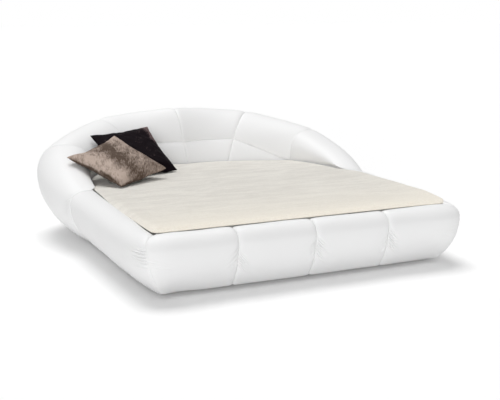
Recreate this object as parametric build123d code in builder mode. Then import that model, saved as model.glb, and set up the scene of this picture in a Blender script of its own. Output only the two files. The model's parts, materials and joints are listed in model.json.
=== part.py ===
from build123d import *
import math
import os

# Round bed: a straight foot, two bowed arms and a shell headboard around a square sleeping place.
# Millimetres, +Z up, +X to the right when seen from the foot, +Y towards the head.
# The origin is on the floor, under the middle of the sleeping place.

# Sleeping place
place_half_width = 985
place_foot = 1000
edge_high = 372
mattress_low = 200
mattress_high = 410
mattress_gap = 16
mattress_corner = 90
head_corner = 130
mattress_edge = 20

# Floor clearance and the inside of the frame
skirt_low = 30
plinth_in = 75
plinth_thick = 25
shelf_low = 92
board_thick = 18
lining = 12
lining_hem = 6
pad_to_plinth = 10
board_gap = 0.4

# Upholstery over the rails and the headboard
rail_plank_thick = 28
skin_board = 8
foam_top = 50
foam_out = 62
foam_low = 12
spine_half = 34
spine_deep = 46

# How far each pad swells between its two seams
rail_swell = 26
shell_swell = 30
top_swell_share = 0.6

# Rail section at a foot seam
foot_crest_out = 56
foot_crest_high = 380
foot_bulge_out = 120
foot_bulge_high = 300
foot_bottom_out = 32
foot_seam_x = 515

# Front corner seam, which leans towards the middle of the foot as it goes down
corner_heading = -45
corner_lean = 0.135
corner_crest_out = 52
corner_bulge_out = 130
corner_bulge_high = 305
corner_bottom_out = 11

# Seam between the side rail and the arm
side_seam_y = 250
side_heading = -6
side_crest_out = 62
side_crest_high = 404
side_bulge_out = 158
side_bulge_high = 330
side_bottom_out = -2

# Seam between the arm and the wing of the headboard
wing_seam_in = 172
wing_seam_y = 829
wing_heading = 24
wing_crest_out = 252
wing_crest_high = 631
wing_bulge_out = 412
wing_bulge_high = 450
wing_bottom_out = 44

# Seam between the wing and the head pad
head_seam_x = 329
head_seam_y = 995
head_heading = 45
head_crest_out = 430
head_crest_high = 761
head_bulge_out = 535
head_bulge_high = 435
head_bottom_out = 205

# Seam on the middle line of the headboard
middle_seam_y = 1010
middle_crest_out = 310
middle_crest_high = 815
middle_bulge_out = 455
middle_bulge_high = 446
middle_bottom_out = 150

# Cross seam on the inner face of the headboard
cross_seam_high = 575
cross_seam_wing_high = 396
least_belly = 4

# How far the inner face leans back towards the crest, along the rails and the headboard and at the arms
inner_lean_share = 0.72
arm_lean_share = 0.3

# Ribs of the headboard
rib_thick = 18
rib_hole = 55
rib_hole_high = 260

# Glides, centre beam and legs
glide_across = 24
glide_share = 0.5
beam_wide = 50
beam_high = 60
leg_across = 50
leg_count = 3
leg_pitch = 600

# Ledgers and slatted bases
ledger_wide = 30
ledger_high = 40
frame_gap = 4
slat_frame_high = 26
slat_frame_wide = 34
slat_wide = 60
slat_thick = 8
slat_bow = 8
slat_count = 14
slat_pitch = 131
slat_first = -850
slat_end_gap = 6
holder_long = 24
holder_wide = 66
holder_thick = 2
rest_gap = 0.3

# Corner brackets and their bolts
bracket_leg = 60
bracket_thick = 4
bracket_low = 36
bracket_high = 70
bolt_head_across = 16
bolt_head_thick = 4
bolt_shank_across = 8
bolt_shank_long = 24
bolt_from_corner = 38

# Throw over the mattress
throw_thick = 9
throw_edge = 4
throw_corner = 60
throw_lap = 18
throw_lap_share = 0.6
throw_gap = 6

# Loose pillows, each turned about the upright, tilted up at the back and turned in its own plane
pillow_waist = 22
pillow_edge = 12
pillow_edge_rise = 2
pillow_full_power = 0.7
pillow_shares = [-1, -0.65, 0, 0.65, 1]
taupe_side = 520
taupe_thick = 130
taupe_x = -721.6
taupe_y = 535.5
taupe_high = 537.9
taupe_turn = 10.5
taupe_tilt = 19.5
taupe_spin = 21.5
dark_side = 530
dark_thick = 130
dark_x = -515.2
dark_y = 831.9
dark_high = 551.8
dark_turn = 12
dark_tilt = 28
dark_spin = 0

# Where the sections stand along a pad, and how much of the swell each one has
section_shares = [0, 0.14, 0.5, 0.86, 1]
swell_shares = [0, 0.7, 1, 0.7, 0]
overrun = 30

shelf_high = shelf_low + board_thick
os.makedirs("parts", exist_ok=True)


class Station:
    """One upright section through the ring: where it stands and how the padding runs there."""

    def __init__(self, x, y, heading, crest_out, crest_high, bulge_out, bulge_high, bottom_out,
                 cross_high=edge_high, inner_lean=inner_lean_share, lean=0, miter=1):
        self.x = x
        self.y = y
        self.heading = heading
        self.crest_out = crest_out
        self.crest_high = crest_high
        self.bulge_out = bulge_out
        self.bulge_high = bulge_high
        self.bottom_out = bottom_out
        self.cross_high = cross_high
        self.inner_lean = inner_lean
        self.lean = lean
        self.miter = miter

    def values(self):
        return [self.x, self.y, self.heading, self.crest_out, self.crest_high,
                self.bulge_out, self.bulge_high, self.bottom_out, self.cross_high, self.inner_lean]

    def mirrored(self):
        """The same section on the other side of the bed."""
        v = self.values()
        return Station(-v[0], v[1], 180 - v[2], *v[3:], lean=-self.lean, miter=self.miter)

    def out(self):
        turn = math.radians(self.heading)
        return Vector(math.cos(turn), math.sin(turn), 0)

    def point(self, outward):
        """Point in plan at a distance out from the edge of the sleeping place."""
        return Vector(self.x, self.y, 0) + self.out() * (outward * self.miter)

    def plane(self, lean=0):
        """Plane of the section: local X points out of the bed and local Y up."""
        out = self.out()
        along = Vector(0, 0, 1).cross(out)
        up = Vector(0, 0, 1) + along * lean
        base = Vector(self.x, self.y, 0) - along * (lean * edge_high)
        return Plane(origin=base, x_dir=out, z_dir=out.cross(up))

    def lower_face(self, high):
        """Distance out to the lower part of the outer face at a height."""
        rise = self.bulge_high - skirt_low
        reach = self.bulge_out - self.bottom_out
        centre = (self.bulge_out**2 - self.bottom_out**2 - rise**2) / reach / 2
        radius = self.bulge_out - centre
        return centre + math.sqrt(radius**2 - (self.bulge_high - high)**2)


def between(first, last, share, curved):
    """Section at a share of the way along a pad, on the line or the round between its seams."""
    if share == 0:
        return first
    if share == 1:
        return last
    a = first.values()
    b = last.values()
    mixed = [p + (q - p) * share for p, q in zip(a, b)]
    if not curved:
        mixed[2] = math.degrees(math.atan2(b[1] - a[1], b[0] - a[0])) - 90
        return Station(*mixed)
    chord = math.hypot(b[0] - a[0], b[1] - a[1])
    sweep = math.radians(b[2] - a[2])
    bow = chord / 2 * math.tan(sweep / 4) * 4 * share * (1 - share)
    turn = math.radians(mixed[2])
    mixed[0] += bow * math.cos(turn)
    mixed[1] += bow * math.sin(turn)
    return Station(*mixed)


def stations_of(first, last, curved):
    return [between(first, last, share, curved) for share in section_shares]


def joined(*rows):
    """One row of sections from several that follow each other, without the doubled seams."""
    whole = list(rows[0])
    for row in rows[1:]:
        whole += row[1:]
    return whole


def rounded(start, corner, end):
    """Two tangent arcs from start to end that leave and arrive along the lines to the corner."""
    near = math.dist(start, corner)
    far = math.dist(corner, end)
    across = math.dist(start, end)
    joint = tuple((far * start[i] + across * corner[i] + near * end[i]) / (near + far + across)
                  for i in (0, 1))
    TangentArc(start, joint, tangent=(corner[0] - start[0], corner[1] - start[1]))
    TangentArc(end, joint, tangent=(corner[0] - end[0], corner[1] - end[1]))


def pad_outline(station, swell, cross_seam):
    """Closed outline of the padding at one section, with the swell between seams added."""
    bottom = (station.bottom_out, skirt_low)
    bulge = (station.bulge_out + swell, station.bulge_high)
    crest = (station.crest_out, station.crest_high + swell * top_swell_share)
    edge = (0, edge_high)
    lean = station.inner_lean * station.crest_out / (station.crest_high - edge_high + spine_deep)
    TangentArc(bulge, bottom, tangent=(0, -1))
    rounded(bulge, (bulge[0], crest[1]), crest)
    if cross_seam:
        rise = station.cross_high - edge_high
        seam = (lean * rise, station.cross_high)
        belly = swell * rise / (crest[1] - edge_high) + least_belly
        rounded(crest, (seam[0] + lean * (crest[1] - seam[1]) - swell, crest[1]), seam)
        ThreePointArc(seam, (seam[0] / 2 - belly, edge_high + rise / 2), edge)
    else:
        rounded(crest, (lean * (crest[1] - edge_high), crest[1]), edge)
    inner = pad_to_plinth - plinth_in
    Polyline(edge, (0, mattress_low), (inner, mattress_low), (inner, skirt_low), bottom)


def padded_between(stations, swell, cross_seam):
    """Padded solid between two seams, drawn in at both and full in the middle."""
    with BuildPart() as body:
        for station, share in zip(stations, swell_shares):
            with BuildSketch(station.plane(station.lean)):
                with BuildLine():
                    pad_outline(station, swell * share, cross_seam)
                make_face()
        loft()
    return body.part


def ruled_between(stations, outline):
    """Straight-sided solid through the closed outline that each section gives."""
    with BuildPart() as body:
        for station in stations:
            with BuildSketch(station.plane()):
                with BuildLine():
                    Polyline(*outline(station), close=True)
                make_face()
        loft(ruled=True)
    return body.part


def board_between(stations, inner, outer, low, high):
    """Board of one section, given by its distances out and its heights, along a row of sections."""
    def outline(station):
        near = inner * station.miter
        far = outer * station.miter
        return [(near, low), (far, low), (far, high), (near, high)]
    return ruled_between(stations, outline)


def shelf_outline(station):
    """Floor board under the padding, from the plinth out to the foam of the lower face."""
    inner = -plinth_in * station.miter
    return [(inner, shelf_low), (station.lower_face(shelf_low) - foam_low, shelf_low),
            (station.lower_face(shelf_high) - foam_low, shelf_high), (inner, shelf_high)]


def space_below(station):
    """Lower corners of the space that the carcass takes: over the plinth and under the lining."""
    hem = mattress_low + lining_hem
    inner = -(plinth_in + overrun) * station.miter
    near = lining * station.miter
    under = station.lower_face(shelf_low) - foam_low
    return [(under, shelf_low), (inner, shelf_low), (inner, hem), (near, hem)]


def rail_space(station):
    """Space inside the padding of a rail: the floor board and the plank on it."""
    top = rail_top
    near = lining * station.miter
    far = (lining + rail_plank_thick) * station.miter
    return space_below(station) + [(near, top), (far, top), (far, shelf_high),
                                   (station.lower_face(shelf_high) - foam_low, shelf_high)]


def spine(station, drop=0):
    """Top corners of the shell's carcass, a drop below its foam, and the widest point of its back."""
    top = station.crest_high - foam_top - drop
    widest = station.bulge_out - foam_out
    return [(max(station.crest_out - spine_half, lining + skin_board), top),
            (min(station.crest_out + spine_half, widest), top), (widest, station.bulge_high)]


def shell_space(station):
    """Space inside the padding of the shell: floor board, skins, spine and ribs."""
    return space_below(station) + [(lining, knee_high), *spine(station),
                                   (station.lower_face(shelf_high) - foam_low, shelf_high)]


def inner_skin(station):
    """Thin board that the inner padding lies on."""
    top = spine(station, board_gap)[0]
    return [(lining, shelf_high), (lining + skin_board, shelf_high), (lining + skin_board, knee_high),
            (top[0] + skin_board, top[1]), top, (lining, knee_high)]


def back_skin(station):
    """Thin board that the outer padding lies on."""
    foot = station.lower_face(shelf_high) - foam_low
    top, widest = spine(station, board_gap)[1:]
    return [(foot, shelf_high), widest, top, (top[0] - skin_board, top[1]),
            (widest[0] - skin_board, widest[1]), (foot - skin_board, shelf_high)]


def top_rail(station):
    """Rail along the top of the shell, between its two skins."""
    inner, outer, widest = spine(station, board_gap)
    low = max(inner[1] - spine_deep, widest[1])
    near = inner[0] + skin_board
    far = outer[0] - skin_board
    return [(near, low), (far, low), (far, outer[1]), (near, inner[1])]


def rib_core(station):
    """Space between the skins, over the floor board."""
    foot = station.lower_face(shelf_high) - foam_low
    inner, top, widest = spine(station, board_gap)
    return [(lining + skin_board, shelf_high), (lining + skin_board, knee_high),
            (inner[0] + skin_board, inner[1]), (top[0] - skin_board, top[1]),
            (widest[0] - skin_board, widest[1]), (foot - skin_board, shelf_high)]


def cross_space(station):
    """Room of the lower inner pads, up to the cross seam and in to the middle of the inner skin."""
    top = spine(station)[0]
    share = (station.cross_high - knee_high) / (top[1] - knee_high)
    at_seam = lining + (top[0] - lining) * share + skin_board / 2
    return [(-plinth_in, mattress_low - overrun), (lining + skin_board / 2, mattress_low - overrun),
            (lining + skin_board / 2, knee_high), (at_seam, station.cross_high),
            (-plinth_in, station.cross_high)]


def save(part, name):
    part.label = name
    export_step(part, f"parts/{name}.step")


def save_pair(part, name):
    """Write a piece of the right half and its mirror image on the left."""
    save(part, f"{name}_right")
    save(mirror(part, about=Plane.YZ), f"{name}_left")


# Seams, from the middle of the foot round the right side to the middle of the headboard
rail = (foot_crest_out, foot_crest_high, foot_bulge_out, foot_bulge_high, foot_bottom_out)
foot_middle = Station(0, -place_foot, -90, *rail)
foot_seam = Station(foot_seam_x, -place_foot, -90, *rail)
corner_seam = Station(place_half_width, -place_foot, corner_heading, corner_crest_out, foot_crest_high,
                      corner_bulge_out, corner_bulge_high, corner_bottom_out, lean=corner_lean,
                      miter=1 / math.cos(math.radians(corner_heading)))
side_seam = Station(place_half_width, side_seam_y, side_heading, side_crest_out, side_crest_high,
                    side_bulge_out, side_bulge_high, side_bottom_out, inner_lean=arm_lean_share)
wing_seam = Station(place_half_width - wing_seam_in, wing_seam_y, wing_heading, wing_crest_out,
                    wing_crest_high, wing_bulge_out, wing_bulge_high, wing_bottom_out,
                    cross_seam_wing_high, arm_lean_share)
head_seam = Station(head_seam_x, head_seam_y, head_heading, head_crest_out, head_crest_high,
                    head_bulge_out, head_bulge_high, head_bottom_out, cross_seam_high)
middle_seam = Station(0, middle_seam_y, 90, middle_crest_out, middle_crest_high, middle_bulge_out,
                      middle_bulge_high, middle_bottom_out, cross_seam_high)

rail_top = foot_crest_high - foam_top
knee_high = edge_high - 2 * foam_low
plinth_inner = -plinth_in - plinth_thick

foot_run = [corner_seam.mirrored(), foot_middle, corner_seam]
side_run = [corner_seam, side_seam]
arm_row = stations_of(side_seam, wing_seam, True)
wing_row = stations_of(wing_seam, head_seam, True)
head_row = stations_of(head_seam, middle_seam, True)
shell_run = joined(arm_row, wing_row, head_row)
whole_shell = shell_run + [station.mirrored() for station in shell_run[-2::-1]]

# Padding of the foot, the sides and the shell
foot_space = ruled_between(foot_run, rail_space)
side_space = ruled_between(side_run, rail_space)
arm_space = ruled_between(arm_row, shell_space)

foot_inner_row = stations_of(foot_middle, foot_seam, False)
foot_outer_row = stations_of(foot_seam, corner_seam, False)
side_row = stations_of(corner_seam, side_seam, False)

save_pair(padded_between(foot_inner_row, rail_swell, False) - foot_space, "foot_pad_inner")
save_pair(padded_between(foot_outer_row, rail_swell, False) - foot_space - side_space, "foot_pad_outer")
save_pair(padded_between(side_row, rail_swell, False) - side_space - foot_space, "side_pad")
save_pair(padded_between(arm_row, shell_swell, False) - arm_space, "arm_pad")

for name, row in (("wing", wing_row), ("head", head_row)):
    pad = padded_between(row, shell_swell, True) - ruled_between(row, shell_space)
    lower = ruled_between(row, cross_space)
    save_pair(pad - lower, f"{name}_pad")
    save_pair(pad & lower, f"{name}_lower_pad")

# Planks, floor boards, plinth and ledgers
save(board_between(foot_run, lining, lining + rail_plank_thick, shelf_high, rail_top), "foot_plank")
save_pair(board_between(side_run, lining, lining + rail_plank_thick, shelf_high, rail_top), "side_plank")
save(ruled_between(foot_run, shelf_outline), "foot_floor_board")
save_pair(ruled_between(side_run, shelf_outline), "side_floor_board")
save_pair(ruled_between(shell_run, shelf_outline), "shell_floor_board")

slat_seat = mattress_low - rest_gap - slat_bow - slat_thick
frame_high = slat_seat - holder_thick
ledger_top = frame_high - slat_frame_high

# Centre beam on its legs, butted between the foot and the head of the plinth
foot_inner_y = foot_middle.point(plinth_inner).Y
head_inner_y = middle_seam.point(plinth_inner).Y
with BuildPart() as beam:
    with BuildSketch(Plane.XZ.offset(-foot_inner_y)):
        with Locations((0, ledger_top - beam_high / 2)):
            Rectangle(beam_wide, beam_high)
    extrude(amount=foot_inner_y - head_inner_y)
save(beam.part, "centre_beam")

with BuildPart() as legs:
    with BuildSketch(Plane.XY):
        with GridLocations(0, leg_pitch, 1, leg_count):
            Circle(leg_across / 2)
    extrude(amount=ledger_top - beam_high)
save(legs.part, "centre_legs")

ledger = (plinth_inner - ledger_wide, plinth_inner, ledger_top - ledger_high, ledger_top)
save(board_between(foot_run, *ledger) - beam.part, "foot_ledger")
save_pair(board_between(side_run, *ledger), "side_ledger")
save(board_between(whole_shell, *ledger) - beam.part, "head_ledger")

# Corner brackets inside the two front corners of the plinth
corner = corner_seam.point(plinth_inner)
side_way = (side_seam.point(plinth_inner) - corner).normalized()
side_in = Vector(-side_way.Y, side_way.X, 0)
foot_way = Vector(-1, 0, 0)
foot_in = Vector(0, 1, 0)
heel = corner + foot_in * bracket_thick + foot_way * bracket_thick
with BuildPart() as bracket:
    with BuildSketch(Plane.XY.offset(bracket_low)):
        with BuildLine():
            Polyline(corner, corner + foot_way * bracket_leg,
                     corner + foot_way * bracket_leg + foot_in * bracket_thick, heel,
                     corner + side_way * bracket_leg + side_in * bracket_thick,
                     corner + side_way * bracket_leg, close=True)
        make_face()
    extrude(amount=bracket_high)

bolt_high = bracket_low + bracket_high / 2
bolts = []
for way, inward in ((foot_way, foot_in), (side_way, side_in)):
    seat = corner + way * bolt_from_corner + inward * bracket_thick + Vector(0, 0, bolt_high)
    with BuildPart() as bolt:
        with BuildSketch(Plane(origin=seat, z_dir=inward)):
            Circle(bolt_head_across / 2)
        extrude(amount=bolt_head_thick)
        with BuildSketch(Plane(origin=seat, z_dir=inward)):
            Circle(bolt_shank_across / 2)
        extrude(amount=-bolt_shank_long)
    bolts.append(bolt.part)
fasteners = bolts[0] + bolts[1]
right_bracket = bracket.part - fasteners
save(Part() + [right_bracket, mirror(right_bracket, about=Plane.YZ)], "corner_brackets")
save(Part() + [fasteners, mirror(fasteners, about=Plane.YZ)], "bracket_bolts")

# Plinth boards and the glides under them
plinth = (plinth_inner, -plinth_in, skirt_low, mattress_low - rest_gap)
both_fasteners = fasteners + mirror(fasteners, about=Plane.YZ)
save(board_between(foot_run, *plinth) - both_fasteners, "foot_plinth")
save_pair(board_between(side_run, *plinth) - fasteners, "side_plinth")
save(board_between(whole_shell, *plinth), "head_plinth")

plinth_middle = -plinth_in - plinth_thick / 2
glide_stations = [foot_middle, foot_seam, between(corner_seam, side_seam, glide_share, False), side_seam,
                  wing_seam, head_seam]
glide_places = [station.point(plinth_middle) for station in glide_stations]
glide_places += [Vector(-place.X, place.Y) for place in glide_places[1:]]
with BuildPart() as glides:
    with BuildSketch(Plane.XY):
        with Locations(*glide_places):
            Circle(glide_across / 2)
    extrude(amount=skirt_low)
save(glides.part, "plinth_glides")

# Slatted bases, one on each side of the beam
frame_edge = plinth_inner - frame_gap
frame_points = [station.point(frame_edge) for station in [corner_seam] + shell_run]
frame_points[-1] = Vector(frame_gap / 2, frame_points[-1].Y)
outline_points = [Vector(frame_gap / 2, frame_points[0].Y)] + frame_points
with BuildPart() as slat_frame:
    with BuildSketch(Plane.XY.offset(ledger_top)) :
        with BuildLine():
            Polyline(*outline_points, close=True)
        make_face()
        offset(amount=-slat_frame_wide, kind=Kind.INTERSECTION, mode=Mode.SUBTRACT)
    extrude(amount=slat_frame_high)
save_pair(slat_frame.part, "slat_frame")


def frame_side(y):
    """Distance from the middle line to the outer edge of the slatted base at a place along it."""
    for start, end in zip(frame_points, frame_points[1:]):
        if start.Y <= y <= end.Y:
            return start.X + (end.X - start.X) * (y - start.Y) / (end.Y - start.Y)
    return min(point.X for point in frame_points if point.Y > y)


slats = []
holders = []
for index in range(slat_count):
    y = slat_first + slat_pitch * index
    start = frame_gap / 2 + slat_end_gap
    end = min(frame_side(y - holder_wide / 2), frame_side(y + holder_wide / 2)) - slat_end_gap
    middle = (start + end) / 2
    with BuildPart() as slat:
        with BuildSketch(Plane.XZ.offset(-y - slat_wide / 2)):
            with BuildLine():
                ThreePointArc((start, slat_seat), (middle, slat_seat + slat_bow), (end, slat_seat))
                Line((end, slat_seat), (end, slat_seat + slat_thick))
                ThreePointArc((end, slat_seat + slat_thick), (middle, slat_seat + slat_bow + slat_thick),
                              (start, slat_seat + slat_thick))
                Line((start, slat_seat + slat_thick), (start, slat_seat))
            make_face()
        extrude(amount=slat_wide)
    slats.append(slat.part)
    with BuildPart() as pair:
        with BuildSketch(Plane.XY.offset(frame_high)):
            with Locations((start + holder_long / 2, y), (end - holder_long / 2, y)):
                Rectangle(holder_long, holder_wide)
        extrude(amount=holder_thick)
    holders.append(pair.part)
right_slats = Part() + slats
right_holders = Part() + holders
save(right_slats + mirror(right_slats, about=Plane.YZ), "slats")
save(right_holders + mirror(right_holders, about=Plane.YZ), "slat_holders")

# Skins, top rail and ribs of the shell
save_pair(ruled_between(shell_run, inner_skin), "inner_skin")
save_pair(ruled_between(shell_run, back_skin), "back_skin")
rail_of_shell = ruled_between(whole_shell, top_rail)
save(rail_of_shell, "headboard_top_rail")
core = ruled_between(whole_shell, rib_core)


def rib_at(station, behind):
    """Rib across the shell at a section, with its given part of the thickness behind the plane."""
    widest = spine(station)[2][0]
    reach = station.bulge_out + station.crest_high
    with BuildPart() as rib:
        add(core)
        with BuildSketch(station.plane().offset(-behind)):
            with Locations((reach / 2, reach / 2)):
                Rectangle(reach, reach)
        extrude(amount=rib_thick, mode=Mode.INTERSECT)
        add(rail_of_shell, mode=Mode.SUBTRACT)
        if widest - lining > 3 * rib_hole:
            with BuildSketch(station.plane().offset(-behind)):
                with Locations(((widest + lining) / 2, rib_hole_high)):
                    Circle(rib_hole)
            extrude(amount=rib_thick, mode=Mode.SUBTRACT)
    return rib.part


save(rib_at(middle_seam, rib_thick / 2), "centre_rib")
save_pair(rib_at(head_seam, rib_thick / 2), "head_rib")
save_pair(rib_at(wing_seam, rib_thick / 2), "wing_rib")
save_pair(rib_at(arm_row[2], rib_thick / 2), "arm_rib")
save_pair(rib_at(side_seam, rib_thick), "front_rib")


def bed_slab(outline, low, high, corner_round, edge_round):
    """Slab on a half outline and its mirror image, with its upright corners and its top edge rounded."""
    right = [station.point(out) for station, out in outline]
    left = [Vector(-point.X, point.Y) for point in reversed(right[:-1])]
    with BuildPart() as slab:
        with BuildSketch(Plane.XY.offset(low)):
            with BuildLine():
                Polyline(*right, *left, close=True)
            make_face()
        extrude(amount=high - low)
        fillet(slab.edges().filter_by(Axis.Z).group_by(Axis.Y)[0], radius=corner_round)
        bends = slab.edges().filter_by(Axis.Z).filter_by_position(Axis.Y, -place_foot / 2, middle_seam_y)
        fillet(bends, radius=head_corner)
        fillet(slab.faces().sort_by(Axis.Z)[-1].edges(), radius=edge_round)
    return slab.part


# Mattress
shell_stations = [side_seam, arm_row[2], wing_seam, wing_row[2], head_seam, middle_seam]
mattress_outline = [(station, -mattress_gap) for station in [corner_seam, *shell_stations]]
mattress = bed_slab(mattress_outline, mattress_low, mattress_high, mattress_corner, mattress_edge)
save(mattress, "mattress")

# Throw on the mattress, which laps over the rails and stays clear of the shell
lap_end = between(corner_seam, side_seam, throw_lap_share, False)
throw_outline = [(corner_seam, throw_lap), (lap_end, throw_lap)]
throw_outline += [(station, -throw_gap) for station in shell_stations]
throw_low = mattress_high + rest_gap
save(bed_slab(throw_outline, throw_low, throw_low + throw_thick, throw_corner, throw_edge), "throw")


def pillow(side, thick, x, y, high, turn, tilt, spin):
    """Square pillow: full in the middle, thin at the edges, with all four sides drawn in."""
    turned = Location((x, y, high), (0, 0, turn))
    tilted = Location((0, 0, 0), (tilt, 0, 0))
    lying = turned * tilted * Location((0, 0, 0), (0, 0, spin))
    base = Plane(lying)
    half = side / 2
    edge = pillow_edge / 2
    with BuildPart() as cushion:
        for share in pillow_shares:
            full = 1 - share * share
            reach = half - pillow_waist * full
            top = edge + pillow_edge_rise + (thick / 2 - edge - pillow_edge_rise) * full ** pillow_full_power
            across = Plane(base.origin + base.y_dir * (half * share), x_dir=base.x_dir, z_dir=base.y_dir)
            with BuildSketch(across):
                with BuildLine():
                    ThreePointArc((-reach, edge), (0, top), (reach, edge))
                    Line((reach, edge), (reach, -edge))
                    ThreePointArc((reach, -edge), (0, -top), (-reach, -edge))
                    Line((-reach, -edge), (-reach, edge))
                make_face()
        loft()
        with BuildSketch(base.offset(-thick)):
            for end in (-half, half):
                with BuildLine():
                    ThreePointArc((-half, end), (0, end - math.copysign(pillow_waist, end)), (half, end))
                    Line((half, end), (-half, end))
                make_face()
        extrude(amount=2 * thick, mode=Mode.SUBTRACT)
    return cushion.part


# Pillows in the left head corner
taupe = pillow(taupe_side, taupe_thick, taupe_x, taupe_y, taupe_high,
               taupe_turn, taupe_tilt, taupe_spin)
dark = pillow(dark_side, dark_thick, dark_x, dark_y, dark_high, dark_turn, dark_tilt, dark_spin)
save(taupe, "pillow_taupe")
save(dark, "pillow_dark")
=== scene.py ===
import json
import math

import bpy
import numpy as np
from bpy.props import FloatProperty, FloatVectorProperty, IntProperty, PointerProperty
from mathutils import Matrix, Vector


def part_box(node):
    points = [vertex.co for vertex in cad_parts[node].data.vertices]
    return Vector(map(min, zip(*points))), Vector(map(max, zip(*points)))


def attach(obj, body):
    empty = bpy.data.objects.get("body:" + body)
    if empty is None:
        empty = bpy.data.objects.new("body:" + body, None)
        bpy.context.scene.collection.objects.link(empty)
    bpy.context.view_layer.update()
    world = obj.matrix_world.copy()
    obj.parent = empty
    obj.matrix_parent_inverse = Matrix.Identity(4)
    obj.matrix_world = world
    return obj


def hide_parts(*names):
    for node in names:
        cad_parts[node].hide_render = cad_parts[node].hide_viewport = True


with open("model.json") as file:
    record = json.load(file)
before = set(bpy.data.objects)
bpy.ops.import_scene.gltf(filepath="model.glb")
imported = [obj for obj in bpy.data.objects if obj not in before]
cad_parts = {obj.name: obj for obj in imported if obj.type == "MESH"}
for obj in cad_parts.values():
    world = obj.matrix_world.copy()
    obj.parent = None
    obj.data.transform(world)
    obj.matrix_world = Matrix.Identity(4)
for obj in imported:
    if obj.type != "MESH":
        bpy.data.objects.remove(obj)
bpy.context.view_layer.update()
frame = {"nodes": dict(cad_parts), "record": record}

bl_info = {
    "name": "Round Bed",
    "version": (1, 0, 0),
    "blender": (4, 5, 0),
    "location": "View3D > Sidebar > Round Bed",
    "description": "Padded leather, mattress, throw and pillows of a low bed with a shell headboard",
    "category": "Object",
}

# Heights and depths that the padding shares, in metres
EDGE_HIGH = 0.372
MATTRESS_LOW = 0.2
SKIRT_LOW = 0.03
PAD_INNER = -0.065
LOWER_PAD_DEEP = 0.05
LOWER_PAD_DROP = 0.012
LEAN_DEPTH = 0.046
LEAST_BELLY = 0.004
LEAST_RISE = 0.02
INNER_PUSH = 0.035
THROW_HIGH = 0.42

# Shares and weights of the padding's arcs
TOP_SWELL_SHARE = 0.6
RAIL_LEAN_SHARE = 0.72
ARM_LEAN_SHARE = 0.3
INNER_FULLNESS = 3.0
SHOULDER_WEIGHT = 0.72

# Half the width of the sleeping place, and the share of a side rail at which the throw's lap begins to end
EDGE_WIDE = 0.985
LAP_END = 0.6

MIRROR = {"right": 1, "left": -1}


# Settings

def metres(name, description, default, least=0.0):
    """Length setting."""
    return FloatProperty(name=name, description=description, default=default, min=least, unit="LENGTH")


def number(name, description, default, **kind):
    """Setting of another kind, with its limits, unit or subtype."""
    return FloatProperty(name=name, description=description, default=default, **kind)


def tint(name, description, default):
    """Colour setting."""
    return FloatVectorProperty(name=name, description=description, default=default, size=3,
                               subtype="COLOR", min=0, max=1)


class PaddingSettings(bpy.types.PropertyGroup):
    """Leather padding over the frame and the headboard."""

    rail_swell: metres("Rail Swell", "How far a rail panel swells between its seams", 0.026)
    shell_swell: metres("Shell Swell", "How far a headboard panel swells between its seams", 0.03)
    seam_share: number("Swell at Seams", "Share of the swell that is left right at a seam", 0.5, min=0, max=1)
    arm_swell: metres("Arm Swell", "How far the inner face of an arm swells over the sleeping place", 0.028)
    tuck: metres("Seam Tuck", "Extra depth right at a seam, where the leather is sewn in", 0.009)
    tuck_reach: metres("Tuck Reach", "Distance from a seam over which the tuck fades", 0.009, 0.001)
    cross_tuck: metres("Cross Seam Tuck", "Depth of the seam that crosses the inside of the headboard", 0.010)
    cross_reach: metres("Cross Seam Reach", "Distance over which the cross seam's tuck fades", 0.014, 0.001)
    gather: metres("Gather Depth", "Depth of the short folds gathered at a seam", 0.012)
    ease: metres("Leather Ease", "Height of the slow unevenness of the stretched leather", 0.0022)
    leather: tint("Leather", "Colour of the leather", (0.83, 0.83, 0.825))
    # Painted shade: the grey the leather is mixed towards at seams, in folds and along the cross seam, where
    # shade falls
    leather_shade_grey: tint("Leather at Seams", "Colour of the leather drawn into a seam", (0.27, 0.265, 0.26))


class MattressSettings(bpy.types.PropertyGroup):
    """Mattress under the throw."""

    quilt_pitch: metres("Quilt Pitch", "Distance between quilting lines", 0.14, 0.01)
    quilt_depth: metres("Quilt Depth", "Depth of the quilting lines", 0.005)
    ticking: tint("Ticking", "Colour of the mattress cover", (0.82, 0.81, 0.78))


class ThrowSettings(bpy.types.PropertyGroup):
    """Plush throw over the mattress."""

    thickness: metres("Thickness", "Thickness of the cloth without its pile", 0.007, 0.001)
    lap: metres("Lap", "How far the cloth laps over the rails", 0.018)
    gap: metres("Gap", "How far the cloth stays from the shell", 0.006)
    droop: metres("Droop", "How far the rim hangs over the foot and the left rail", 0.019)
    small_droop: metres("Small Droop", "How far the rim hangs on the right and along the shell", 0.004)
    droop_reach: metres("Droop Reach", "Distance from the rim over which the cloth bends down", 0.024, 0.001)
    sag: metres("Sag", "Height of the slow waves of the cloth", 0.0015)
    pile: metres("Pile", "Unevenness of the pile", 0.001)
    cream: tint("Cream", "Colour of the pile seen against its lie", (0.76, 0.735, 0.685))
    cream_light: tint("Light Cream", "Colour of the pile seen along its lie", (0.88, 0.855, 0.80))
    # Painted light: the throw is painted lighter and warmer near the foot, where more light falls on it
    cream_painted_light: tint("Combed Cream", "Colour of the pile near the foot, where it lies towards the front",
                       (0.98, 0.925, 0.82))


class PillowSettings(bpy.types.PropertyGroup):
    """Loose velvet pillows."""

    pressure: number("Pressure", "Pressure of the filling while the cover is simulated", 4.0, min=0)
    largest_move: metres("Largest Move", "How far the simulation may move a point of the cover", 0.014)
    frames: IntProperty(name="Frames", description="Length of the simulation", default=20, min=1)
    # The velvets are mixed between these colours by crushed streaks and by painted light and shade
    taupe: tint("Taupe", "Colour of the taupe velvet in its crushed places", (0.085, 0.055, 0.038))
    taupe_light: tint("Light Taupe", "Colour of the taupe velvet where it catches light", (0.50, 0.40, 0.34))
    dark: tint("Dark", "Colour of the dark velvet", (0.006, 0.003, 0.005))
    dark_light: tint("Light Dark", "Colour of the dark velvet where it catches light", (0.17, 0.12, 0.12))


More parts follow.
